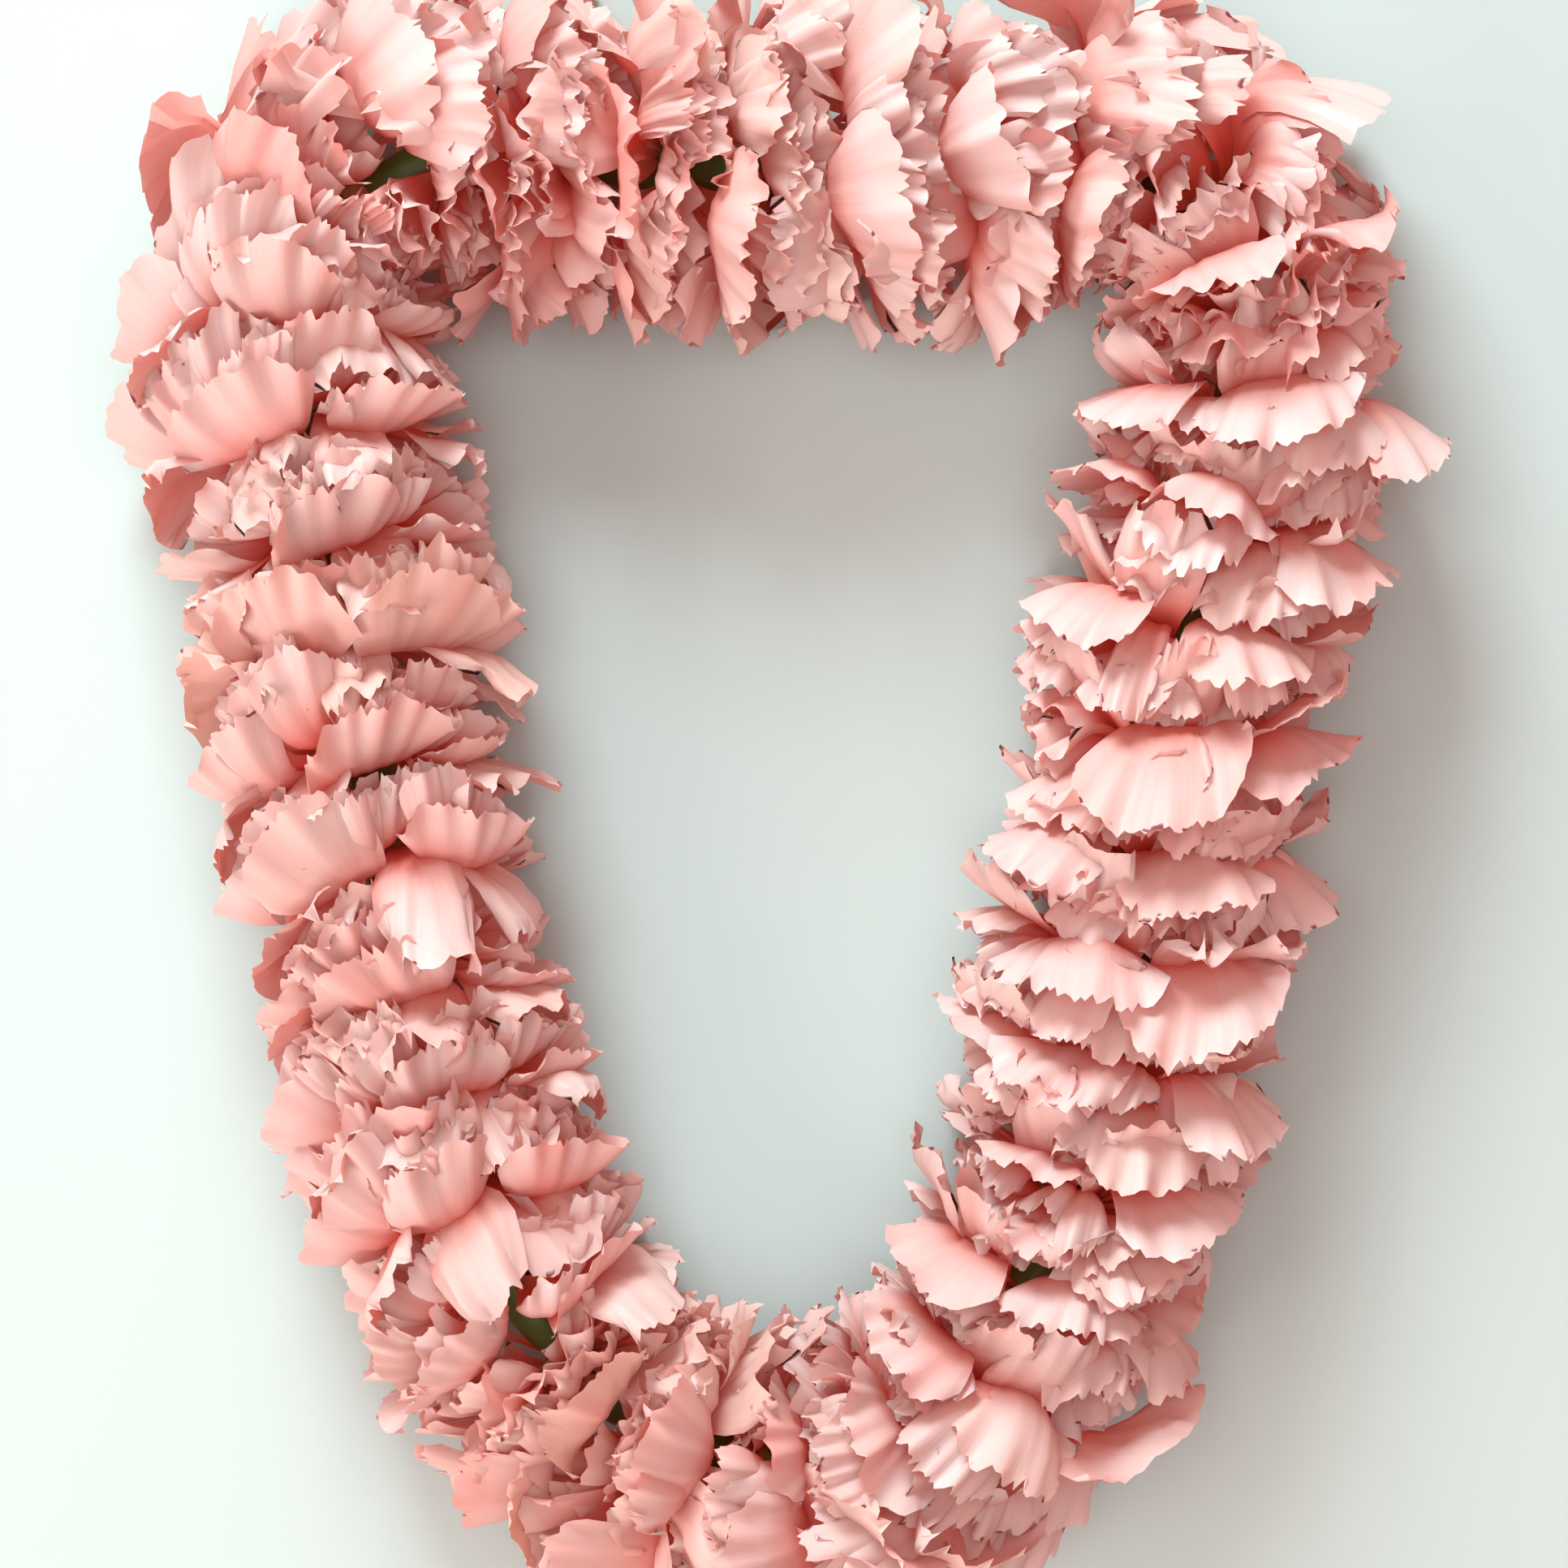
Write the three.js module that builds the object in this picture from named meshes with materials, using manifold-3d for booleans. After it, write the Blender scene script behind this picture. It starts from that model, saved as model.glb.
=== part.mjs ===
// Fresh flower lei: carnation blooms strung on a thread in a closed loop that lies flat.
// Millimetres, +Z up, with the surface that the lei lies on at z = 0. Seen from above, the
// string runs clockwise and every bloom faces along it, with its green calyx behind it.

import * as THREE from "three";
import { mergeVertices } from "three/addons/utils/BufferGeometryUtils.js";
import Module from "manifold-3d";

const wasm = await Module();
wasm.setup();

// Driving dimensions

const BLOOM_COUNT = 34;
const STRING_HEIGHT = 22;

// Corners of the frame that the string's route is smoothed from: up the left side, over the
// top, down the right side and round the bottom.
const ROUTE = [
  [-91, 14], [-94, 38], [-98, 62], [-102, 84], [-105, 107], [-102, 128], [-87, 142],
  [-65, 146], [-41, 143], [-16, 141], [9, 140], [34, 141], [58, 143], [81, 142],
  [99, 132], [107, 112], [107, 91], [102, 69], [95, 45], [90, 20], [86, -5],
  [82, -30], [77, -55], [71, -80], [63, -104], [51, -126], [32, -143], [7, -150],
  [-18, -147], [-40, -134], [-56, -113], [-67, -89], [-74, -65], [-80, -39], [-86, -12],
];
const LOOP_CENTRE = [0.98, -1.78]; // middle of the lei, in the same measure as the corners
const ROUTE_SAMPLES = 40; // samples between two corners of the frame
const HEADING_REACH = 12; // the heading is read this far before and after a place

// Throat of a bloom: the ring of packed petal claws round the thread. Its outer wall has two
// bands of facets: outer petals grow from the band behind, inner petals from the one in front.
const THROAT_SIDES = 10;
const THROAT_BACK = -0.7;
const THROAT_MIDDLE = 2.6;
const THROAT_FRONT = 5.8;
const THROAT_HOLE = 4.4;
const THROAT_MOUTH = 6.8;
const THROAT_RADII = [8.2, 8.6, 8.9];

// Petals: an outer layer, and an inner layer that is shorter and stands further forward. The
// petals underneath are tucked in by a share of their reach.
const PETAL_THICKNESS = 0.8;
const LAYERS = [
  { reach: 36.5, midShift: -9.5, rimShift: -6.5, halfAngle: 34, rim: 6, floorLift: 0, tuck: 0.1 },
  { reach: 31.5, midShift: 3, rimShift: 6.5, halfAngle: 32, rim: 5, floorLift: 2.6, tuck: 0.27 },
];
const MID_ROW = 0.58; // place of the middle row of points along a petal
const MID_WIDTH = 0.86; // width there, as a share of the full angle
const CURL_START = 9; // petals leave the throat at this radius
const CURL_SPAN = 28;
const CURL_FORWARD = 19; // how far the rims at the top lean forward over the next bloom
const CURL_SHARPNESS = 2.6; // the higher, the nearer to the rim the petals turn forward
const SIDE_CURL = 0.4; // share of that at the sides and underneath
const SIDE_FADE = 1.5;
const CURL_BACK = 9; // how far the petals bow back before that
const BOW_FADE = 1.2;
const RIM_WAVE = 1.1; // every other point of a rim stands this far forward, the rest back
const WAVE_JITTER = 0.5;
const RIM_TOOTH = 1.3; // every other point of a rim stands this much higher
const TOOTH_JITTER = 0.8;
const CORNER_DROP = 4.2; // how much lower the two corners of a rim are
const CUP = 1.6;
const SKEW = 1.5; // one side of each petal stands behind its neighbour, the other before it
const SKEW_JITTER = 0.25;
const ANGLE_JITTER = 4;
const SIZE_JITTER = 0.05;
const REACH_JITTER = 0.08;
const WIDTH_JITTER = 0.08;
const SHIFT_JITTER = 1.2;
const BEND_OPENING = 6; // petals open wider by this times the bend on the outer side of a bend

// Numbers that keep the draws of a bloom and of the points of a rim apart
const DRAWS_A_BLOOM = 40;
const TURN_DRAW = 901;
const SIZE_DRAW = 902;
const WAVE_DRAW = 10;
const TOOTH_DRAW = 20;

// Places along the loop where the blooms are bigger: bloom, share, width
const BIGGER = [[8, 0.13, 3.5]];

// Places along the loop where the blooms lean up to face the viewer: bloom, degrees, width
const LEANS = [
  [6.2, 18, 2],
  [9.6, 14, 1.8],
  [13.4, 18, 2],
  [27.5, 14, 2],
];

// Room at the inner side of a bend and at the surface
const INNER_SHARE = 0.66; // petals reach this share of the way to the centre of a bend
const INNER_EASE = 4; // the higher, the later they start to be held back
const FLOOR_GAP = 0.6; // lowest petals of most blooms stay this far above the surface
const FLOOR_SOFT = 5; // the petals start to flatten this far above the lowest ones
const RESTING_BLOOMS = [1, 9, 20, 29]; // these are pressed flat where they carry the lei
const RESTING_LEVEL = 0.2; // middle of the blade there, so that the cut leaves a flat underside
const CUT_WIDTH = 160;
const CUT_DEPTH = 10;

// Calyx, six-sided: a tapered green cup behind each bloom, its foot inside the throat of the one behind
const SIDES = 6;
const CALYX_BORE = 1.3;
const CALYX_FOOT = 2.6;
const CALYX_WAIST = 4.6;
const CALYX_MOUTH = 6.5;
const CALYX_MOUTH_BACK = -1.0;
const CALYX_FOOT_BACK = -0.7;
const CALYX_NECK = 3.6; // the foot widens from here
const CALYX_WAIST_AT = 9;
const KNOT_ROOM = 6;

// Thread and its knot
const THREAD_RADIUS = 0.7;
const KNOT_RADIUS = 1.8;
const KNOT_AT = 2.2;
const TAIL_LENGTH = 2.4;
const TAIL_RADIUS = 0.45;
const TAIL_SIDES = 5;
const TAIL_SPREAD = 0.5;

// Colours of the finishes

const petalFinish = new THREE.MeshStandardMaterial({ color: 0xefa79b, roughness: 0.6, metalness: 0 });
const calyxFinish = new THREE.MeshStandardMaterial({ color: 0x7c8a46, roughness: 0.65, metalness: 0 });
const threadFinish = new THREE.MeshStandardMaterial({ color: 0xf0eadb, roughness: 0.8, metalness: 0 });

// A repeatable draw between -1 and 1 for a pair of counting numbers
function draw(first, second) {
  const wave = Math.sin(first * 127.1 + second * 311.7 + 17.3) * 43758.5453;
  return 2 * (wave - Math.floor(wave)) - 1;
}

// Route of the string: a smooth closed curve, measured along its length

function routeSamples() {
  const count = ROUTE.length;
  const samples = [];
  for (let corner = 0; corner < count; corner++) {
    const [a, b, c, d] = [-1, 0, 1, 2].map((step) => ROUTE[(corner + step + count) % count]);
    for (let step = 0; step < ROUTE_SAMPLES; step++) {
      const t = step / ROUTE_SAMPLES;
      const weights = [
        (1 - t) ** 3,
        3 * t ** 3 - 6 * t ** 2 + 4,
        -3 * t ** 3 + 3 * t ** 2 + 3 * t + 1,
        t ** 3,
      ];
      const along = (axis) =>
        (weights[0] * a[axis] + weights[1] * b[axis] + weights[2] * c[axis] + weights[3] * d[axis]) / 6;
      samples.push(new THREE.Vector2(along(0) - LOOP_CENTRE[0], along(1) - LOOP_CENTRE[1]));
    }
  }
  return samples;
}

const samples = routeSamples();
const distances = [0];
for (let i = 0; i < samples.length; i++) {
  const next = samples[(i + 1) % samples.length];
  distances.push(distances[i] + samples[i].distanceTo(next));
}
const LOOP_LENGTH = distances[samples.length];
const PITCH = LOOP_LENGTH / BLOOM_COUNT;

function stringPoint(distance) {
  const s = THREE.MathUtils.euclideanModulo(distance, LOOP_LENGTH);
  let low = 0;
  let high = samples.length;
  while (high - low > 1) {
    const middle = (low + high) >> 1;
    if (distances[middle] <= s) low = middle;
    else high = middle;
  }
  const share = (s - distances[low]) / (distances[low + 1] - distances[low]);
  return samples[low].clone().lerp(samples[(low + 1) % samples.length], share);
}

function heading(distance) {
  const ahead = stringPoint(distance + HEADING_REACH);
  return ahead.sub(stringPoint(distance - HEADING_REACH)).normalize();
}

// How sharply the string turns: 1 over the radius of the bend
function bend(distance) {
  const before = heading(distance - HEADING_REACH);
  const after = heading(distance + HEADING_REACH);
  return Math.asin(before.y * after.x - before.x * after.y) / (2 * HEADING_REACH);
}

// Shape that all the blooms share

// How far forward a petal stands at a radius: it bows back a little, then curls forward
function curl(radius, angle) {
  const x = Math.max(0, (radius - CURL_START) / CURL_SPAN);
  const share = SIDE_CURL + (1 - SIDE_CURL) * Math.max(0, Math.sin(angle)) ** SIDE_FADE;
  const bow = CURL_BACK * x ** BOW_FADE * Math.max(0, 1 - x);
  return CURL_FORWARD * share * x ** CURL_SHARPNESS - bow;
}

// A value that swells smoothly round the listed places of the loop
function swell(places, distance) {
  let value = 0;
  for (const [bloom, amount, width] of places) {
    const away = (distance / PITCH - bloom) / width;
    value += amount * Math.exp(-away * away);
  }
  return value;
}

function leanAt(distance) {
  return THREE.MathUtils.degToRad(swell(LEANS, distance));
}

// Keeps petals on the inner side of a bend from reaching its centre
function outwardReach(outward, turn) {
  if (outward >= 0 || turn <= 0) return outward;
  const limit = INNER_SHARE / turn;
  return outward / (1 + (outward / limit) ** INNER_EASE) ** (1 / INNER_EASE);
}

// Petals that would go through the surface lie along it, and where a bloom carries the lei
// they lie quite flat
function aboveFloor(height, lowest, resting) {
  if (resting) return Math.max(height, lowest);
  const soft = lowest + FLOOR_SOFT;
  if (height >= soft) return height;
  return lowest + FLOOR_SOFT * Math.exp((height - soft) / FLOOR_SOFT);
}

// A point of a bloom from its place along the string, its radius and its angle round the
// string, which is 0 on the loop's outer side and 90 degrees at the top
function bloomPoint(along, radius, angle, lowest, resting) {
  const up = radius * Math.sin(angle);
  const place = along + curl(radius, angle) - Math.tan(leanAt(along)) * Math.max(0, up);
  const out = outwardReach(radius * Math.cos(angle), bend(place));
  const ahead = heading(place);
  const centre = stringPoint(place);
  return new THREE.Vector3(
    centre.x - ahead.y * out,
    centre.y + ahead.x * out,
    aboveFloor(STRING_HEIGHT + up, lowest, resting),
  );
}

// Solids

function solidFrom(points, faces) {
  const vertProperties = new Float32Array(points.flatMap((p) => [p.x, p.y, p.z]));
  const triVerts = new Uint32Array(faces.flat());
  return new wasm.Manifold(new wasm.Mesh({ numProp: 3, vertProperties, triVerts }));
}

// A solid from a closed three.js geometry
function geometrySolid(geometry) {
  geometry.deleteAttribute("normal");
  geometry.deleteAttribute("uv");
  const merged = mergeVertices(geometry);
  const vertProperties = new Float32Array(merged.attributes.position.array);
  const triVerts = new Uint32Array(merged.index.array);
  return new wasm.Manifold(new wasm.Mesh({ numProp: 3, vertProperties, triVerts }));
}

// Triangles between two rows of points that may differ in number
function stripFaces(startA, countA, startB, countB) {
  const faces = [];
  let i = 0;
  let j = 0;
  while (i < countA - 1 || j < countB - 1) {
    const stepA = (i + 1) / Math.max(1, countA - 1);
    const stepB = (j + 1) / Math.max(1, countB - 1);
    if (j < countB - 1 && (i === countA - 1 || stepB <= stepA + 1e-9)) {
      faces.push([startA + i, startB + j, startB + j + 1]);
      j++;
    } else {
      faces.push([startA + i, startB + j, startA + i + 1]);
      i++;
    }
  }
  return faces;
}

// Faces of a blade on rows of points. Both faces of the blade have the same triangles; the
// walls between them run all round, but for the root row.
function bladeFaces(counts) {
  const front = [];
  let start = 0;
  for (let r = 0; r + 1 < counts.length; r++) {
    front.push(...stripFaces(start, counts[r], start + counts[r], counts[r + 1]));
    start += counts[r];
  }
  const total = start + counts[counts.length - 1];
  const edges = new Map();
  for (const [a, b, c] of front) {
    for (const [from, to] of [[a, b], [b, c], [c, a]]) {
      if (!edges.delete(`${to} ${from}`)) edges.set(`${from} ${to}`, [from, to]);
    }
  }
  const walls = [];
  for (const [from, to] of edges.values()) {
    if (from < counts[0] && to < counts[0]) continue;
    walls.push([to, from, total + from], [to, total + from, total + to]);
  }
  const back = front.map(([a, b, c]) => [total + a, total + c, total + b]);
  return { total, front, all: [...front, ...back, ...walls] };
}

// Points of a blade's two faces, half its thickness to either side of its middle
function bladePoints(middle, front, thickness) {
  const normals = middle.map(() => new THREE.Vector3());
  for (const [a, b, c] of front) {
    const ab = middle[b].clone().sub(middle[a]);
    const ac = middle[c].clone().sub(middle[a]);
    const normal = ab.cross(ac).normalize();
    for (const corner of [a, b, c]) normals[corner].add(normal);
  }
  const half = normals.map((normal) => normal.normalize().multiplyScalar(thickness / 2));
  return [
    ...middle.map((point, i) => point.clone().add(half[i])),
    ...middle.map((point, i) => point.clone().sub(half[i])),
  ];
}

// A ring of points round the string's line, square to a direction
function ringPoints(centre, direction, radius, sides = SIDES, turn = 0) {
  const side = new THREE.Vector3(-direction.y, direction.x, 0);
  const points = [];
  for (let i = 0; i < sides; i++) {
    const angle = turn + ((i + 0.5) / sides) * 2 * Math.PI;
    const point = centre.clone().addScaledVector(side, radius * Math.cos(angle));
    point.z += radius * Math.sin(angle);
    points.push(point);
  }
  return points;
}

// A solid skinned over rings of points; the last ring joins the first one again
function ringSolid(rings) {
  const faces = [];
  for (let r = 0; r < rings.length; r++) {
    const here = r * SIDES;
    const there = ((r + 1) % rings.length) * SIDES;
    for (let i = 0; i < SIDES; i++) {
      const next = (i + 1) % SIDES;
      faces.push([here + i, there + next, here + next], [here + i, there + i, there + next]);
    }
  }
  return solidFrom(rings.flat(), faces);
}

// Joints of the string: where each bloom sits, with the straight runs between them

function jointPoint(index) {
  const point = stringPoint(index * PITCH);
  return new THREE.Vector3(point.x, point.y, STRING_HEIGHT);
}

function runDirection(index) {
  return jointPoint(index + 1).sub(jointPoint(index)).normalize();
}

// Direction that a bloom faces: halfway between the runs before and after it
function facing(index) {
  return runDirection(index - 1).add(runDirection(index)).normalize();
}

// Sub-parts

// Middle points of a petal, in rows from its mid height to its rim
function petalRows(index, layer, number, middleAngle) {
  const shape = LAYERS[layer];
  const seed = index * DRAWS_A_BLOOM + layer * (DRAWS_A_BLOOM / 2) + number;
  const turned = middleAngle + THREE.MathUtils.degToRad(ANGLE_JITTER * draw(seed, 1));
  const halfAngle = THREE.MathUtils.degToRad(shape.halfAngle * (1 + WIDTH_JITTER * draw(seed, 2)));
  const opening = BEND_OPENING * bend(index * PITCH) * Math.max(0, Math.cos(turned));
  const size = 1 + SIZE_JITTER * draw(index, SIZE_DRAW) + swell(BIGGER, index * PITCH) + opening;
  const under = Math.max(0, -Math.sin(turned));
  const reach = shape.reach * size * (1 + REACH_JITTER * draw(seed, 3)) * (1 - shape.tuck * under);
  const shifts = [shape.midShift, shape.rimShift + SHIFT_JITTER * draw(seed, 4)];
  const skew = SKEW * (1 + SKEW_JITTER * draw(seed, 5));
  const resting = layer === 0 && RESTING_BLOOMS.includes(index);
  const lowest = resting ? RESTING_LEVEL : FLOOR_GAP + PETAL_THICKNESS / 2 + shape.floorLift;
  const root = THROAT_RADII[layer];
  const point = (row, across, along, radial) => {
    const radius = root + (reach - root) * [MID_ROW, 1][row] + radial;
    const angle = turned + across * halfAngle * [MID_WIDTH, 1][row];
    const place = index * PITCH + shifts[row] + skew * across * (row + 1) + along;
    return bloomPoint(place, radius, angle, lowest, resting);
  };
  const mid = [-1, 0, 1].map((across) => point(0, across, CUP * (2 * across ** 2 - 1), 0));
  const rim = [];
  for (let i = 0; i < shape.rim; i++) {
    const across = (2 * i) / (shape.rim - 1) - 1;
    const sign = i % 2 === 0 ? 1 : -1;
    const wave = sign * (RIM_WAVE + WAVE_JITTER * draw(seed, WAVE_DRAW + i));
    const tooth = sign * RIM_TOOTH + TOOTH_JITTER * draw(seed, TOOTH_DRAW + i);
    rim.push(point(1, across, wave, tooth - CORNER_DROP * across ** 4));
  }
  return [mid, rim];
}

// A bloom as one skin: the throat ring with a petal grown from every other facet of each band,
// the even ones behind and the odd ones in front
function bloomSolid(index) {
  const n = THROAT_SIDES;
  const ahead = facing(index);
  const straightDown = -Math.PI / 2 - (2 * Math.PI) / n;
  const turn = RESTING_BLOOMS.includes(index) ? straightDown : Math.PI * draw(index, TURN_DRAW);
  const ring = (along, radius) => {
    const centre = jointPoint(index).addScaledVector(ahead, along);
    return ringPoints(centre, ahead, radius, n, turn);
  };
  const points = [
    ...ring(THROAT_BACK, THROAT_RADII[0]),
    ...ring(THROAT_MIDDLE, THROAT_RADII[1]),
    ...ring(THROAT_FRONT, THROAT_RADII[2]),
    ...ring(THROAT_FRONT, THROAT_MOUTH),
    ...ring(THROAT_BACK, THROAT_HOLE),
  ];
  const rings = points.length / n;
  const faces = [];
  for (let r = 0; r < rings; r++) {
    for (let i = 0; i < n; i++) {
      const next = (i + 1) % n;
      const [a, b] = [r * n + i, r * n + next];
      const [c, d] = [((r + 1) % rings) * n + i, ((r + 1) % rings) * n + next];
      if (r > 1 || i % 2 !== r) {
        faces.push([a, b, d], [a, d, c]);
        continue;
      }
      const [mid, rim] = petalRows(index, r, i, turn + ((i + 1) / n) * 2 * Math.PI);
      const { total, front, all } = bladeFaces([2, mid.length, rim.length]);
      const rootMiddle = [points[a].clone().lerp(points[c], 0.5), points[b].clone().lerp(points[d], 0.5)];
      const skin = bladePoints([...rootMiddle, ...mid, ...rim], front, PETAL_THICKNESS);
      const own = new Map([[0, c], [1, d], [total, a], [total + 1, b]]);
      skin.forEach((point, k) => {
        if (!own.has(k)) own.set(k, points.push(point) - 1);
      });
      faces.push(...all.map((face) => face.map((corner) => own.get(corner))));
    }
  }
  const bloom = solidFrom(points, faces);
  return RESTING_BLOOMS.includes(index) ? bloom.subtract(belowSurface(index)) : bloom;
}

// The space below the surface, as wide as one bloom needs
function belowSurface(index) {
  const box = new THREE.BoxGeometry(CUT_WIDTH, CUT_WIDTH, CUT_DEPTH);
  const joint = jointPoint(index);
  return geometrySolid(box.translate(joint.x, joint.y, -CUT_DEPTH / 2));
}

// Two calyces in a row: the foot of the second grows through the throat of the first bloom
function calyxPairSolid(first) {
  const before = jointPoint(first - 1);
  const middle = jointPoint(first);
  const after = jointPoint(first + 1);
  const runA = runDirection(first - 1);
  const runB = runDirection(first);
  const start = first === 0 ? KNOT_ROOM : CALYX_FOOT_BACK;
  const startFacing = first === 0 ? runA : facing(first - 1);
  const on = (joint, run, along, radius, direction) =>
    ringPoints(joint.clone().addScaledVector(run, along), direction, radius);
  const neck = first === 0 ? KNOT_ROOM : CALYX_NECK;
  return ringSolid([
    on(before, startFacing, start, CALYX_BORE, startFacing),
    on(middle, runA, 0, CALYX_BORE, facing(first)),
    on(after, runB, CALYX_MOUTH_BACK, CALYX_BORE, facing(first + 1)),
    on(after, runB, CALYX_MOUTH_BACK, CALYX_MOUTH, facing(first + 1)),
    on(middle, runB, CALYX_WAIST_AT, CALYX_WAIST, runB),
    on(middle, runB, CALYX_NECK, CALYX_FOOT, runB),
    on(middle, runA, CALYX_MOUTH_BACK, CALYX_FOOT, facing(first)),
    on(middle, runA, CALYX_MOUTH_BACK, CALYX_MOUTH, facing(first)),
    on(before, runA, CALYX_WAIST_AT, CALYX_WAIST, runA),
    on(before, runA, neck, CALYX_FOOT, runA),
    ...(first === 0 ? [] : [on(before, startFacing, start, CALYX_FOOT, startFacing)]),
  ]);
}

function threadLoopSolid() {
  const rings = [];
  for (let index = 0; index < BLOOM_COUNT; index++) {
    rings.unshift(ringPoints(jointPoint(index), facing(index), THREAD_RADIUS));
  }
  return ringSolid(rings);
}

// The knot that closes the loop, with the two cut ends of the thread
function threadSolid() {
  const ahead = runDirection(BLOOM_COUNT - 1);
  const centre = jointPoint(BLOOM_COUNT - 1).addScaledVector(ahead, KNOT_AT);
  const bead = new THREE.IcosahedronGeometry(KNOT_RADIUS, 0);
  let thread = threadLoopSolid().add(geometrySolid(bead.translate(centre.x, centre.y, centre.z)));
  for (const side of [-1, 1]) {
    const tail = new THREE.CylinderGeometry(TAIL_RADIUS, TAIL_RADIUS, TAIL_LENGTH, TAIL_SIDES);
    const lean = new THREE.Vector3(-ahead.y, ahead.x, 0).multiplyScalar(side * TAIL_SPREAD);
    const way = ahead.clone().add(lean).normalize();
    const turn = new THREE.Quaternion().setFromUnitVectors(new THREE.Vector3(0, 1, 0), way);
    const middle = centre.clone().addScaledVector(way, TAIL_LENGTH / 2 + KNOT_RADIUS / 2);
    tail.applyQuaternion(turn).translate(middle.x, middle.y, middle.z);
    thread = thread.add(geometrySolid(tail));
  }
  return thread;
}

// The finished lei

// A named mesh that stands at a joint of the string and is turned the way the bloom faces
function meshAt(index, name, solid, finish) {
  const joint = jointPoint(index);
  const ahead = facing(index);
  const { vertProperties, triVerts } = solid.getMesh();
  const geometry = new THREE.BufferGeometry();
  geometry.setAttribute("position", new THREE.BufferAttribute(new Float32Array(vertProperties), 3));
  geometry.setIndex(new THREE.BufferAttribute(new Uint32Array(triVerts), 1));
  const mesh = new THREE.Mesh(geometry, finish);
  mesh.name = name;
  mesh.position.copy(joint);
  mesh.rotation.z = Math.atan2(ahead.y, ahead.x);
  mesh.updateMatrix();
  geometry.applyMatrix4(mesh.matrix.clone().invert());
  geometry.computeVertexNormals();
  return mesh;
}

const numbered = (name, index) => `${name}_${String(index + 1).padStart(2, "0")}`;

function bloomGroup() {
  const group = new THREE.Group();
  for (let index = 0; index < BLOOM_COUNT; index++) {
    group.add(meshAt(index, numbered("bloom", index), bloomSolid(index), petalFinish));
  }
  return group;
}

function calyxGroup() {
  const group = new THREE.Group();
  for (let pair = 0; pair < BLOOM_COUNT / 2; pair++) {
    group.add(meshAt(2 * pair, numbered("calyx_pair", pair), calyxPairSolid(2 * pair), calyxFinish));
  }
  return group;
}

const lei = new THREE.Group();
lei.name = "flower_lei";
lei.add(bloomGroup(), calyxGroup(), meshAt(0, "thread", threadSolid(), threadFinish));

export default lei;
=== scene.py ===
# %% [markdown]
# # A fresh carnation lei
# A lei is a closed garland: open flower heads threaded one behind the other, through the green
# calyx and out of the face of each flower. This one is 34 pink carnations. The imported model
# gives each bloom a node with a few broad blades. Here every node gets a finer piece in its
# place, built from the same string, the same mapping and the same draws, so that it stays close
# to the node's form and adds what its blades leave out: many petals, teeth, ruffles and colour.

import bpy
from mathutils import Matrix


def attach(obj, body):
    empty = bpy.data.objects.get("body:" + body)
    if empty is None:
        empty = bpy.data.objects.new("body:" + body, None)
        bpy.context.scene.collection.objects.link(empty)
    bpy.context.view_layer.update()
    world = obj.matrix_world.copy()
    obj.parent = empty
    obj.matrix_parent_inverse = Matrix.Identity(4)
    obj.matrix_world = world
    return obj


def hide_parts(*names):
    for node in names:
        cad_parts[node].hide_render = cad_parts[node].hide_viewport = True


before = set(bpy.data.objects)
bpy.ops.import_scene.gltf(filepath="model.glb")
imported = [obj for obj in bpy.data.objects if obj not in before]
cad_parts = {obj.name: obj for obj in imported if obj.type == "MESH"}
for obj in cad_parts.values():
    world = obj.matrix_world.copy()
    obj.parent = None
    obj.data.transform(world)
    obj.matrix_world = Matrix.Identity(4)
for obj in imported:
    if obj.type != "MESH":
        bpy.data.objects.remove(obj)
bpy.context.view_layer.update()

# %% Numbers that the whole lei shares
import math

import bpy
import numpy as np
from mathutils import Vector

MM = 0.001  # lengths are worked out in millimetres and turned into metres at the very end
BLOOM_COUNT = 34
STRING_HEIGHT = 22.0
FULL_TURN = 2 * math.pi


def draw(first, second):
    """A repeatable number from -1 to 1 for a pair of counting numbers."""
    wave = math.sin(first * 127.1 + second * 311.7 + 17.3) * 43758.5453
    return 2 * (wave - math.floor(wave)) - 1


print("first draws:", [round(draw(1, k), 3) for k in range(4)])

# %% [markdown]
# ## The string
# The thread lies in one smooth closed curve, wide and nearly straight at one end and narrow at
# the other. It could be drawn as a Bezier curve and read back, but here every petal has to know
# how far along the string it stands, so the curve is a cubic B-spline over a short list of
# corners, and a table of distances along it answers that question with plain interpolation.

# %% The string's route and the distance along it
ROUTE = np.array([
    (-91, 14), (-94, 38), (-98, 62), (-102, 84), (-105, 107), (-102, 128), (-87, 142),
    (-65, 146), (-41, 143), (-16, 141), (9, 140), (34, 141), (58, 143), (81, 142),
    (99, 132), (107, 112), (107, 91), (102, 69), (95, 45), (90, 20), (86, -5),
    (82, -30), (77, -55), (71, -80), (63, -104), (51, -126), (32, -143), (7, -150),
    (-18, -147), (-40, -134), (-56, -113), (-67, -89), (-74, -65), (-80, -39), (-86, -12),
], float)
LOOP_CENTRE = np.array([0.98, -1.78])
ROUTE_SAMPLES = 40
HEADING_REACH = 12.0


def route_points():
    """Points of the smooth closed curve, in order."""
    t = np.arange(ROUTE_SAMPLES)[:, None] / ROUTE_SAMPLES
    weights = [(1 - t) ** 3, 3 * t**3 - 6 * t**2 + 4, -3 * t**3 + 3 * t**2 + 3 * t + 1, t**3]
    runs = []
    for corner in range(len(ROUTE)):
        near = [ROUTE[(corner + step) % len(ROUTE)] for step in (-1, 0, 1, 2)]
        runs.append(sum(weight * point for weight, point in zip(weights, near)) / 6)
    return np.vstack(runs) - LOOP_CENTRE


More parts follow.
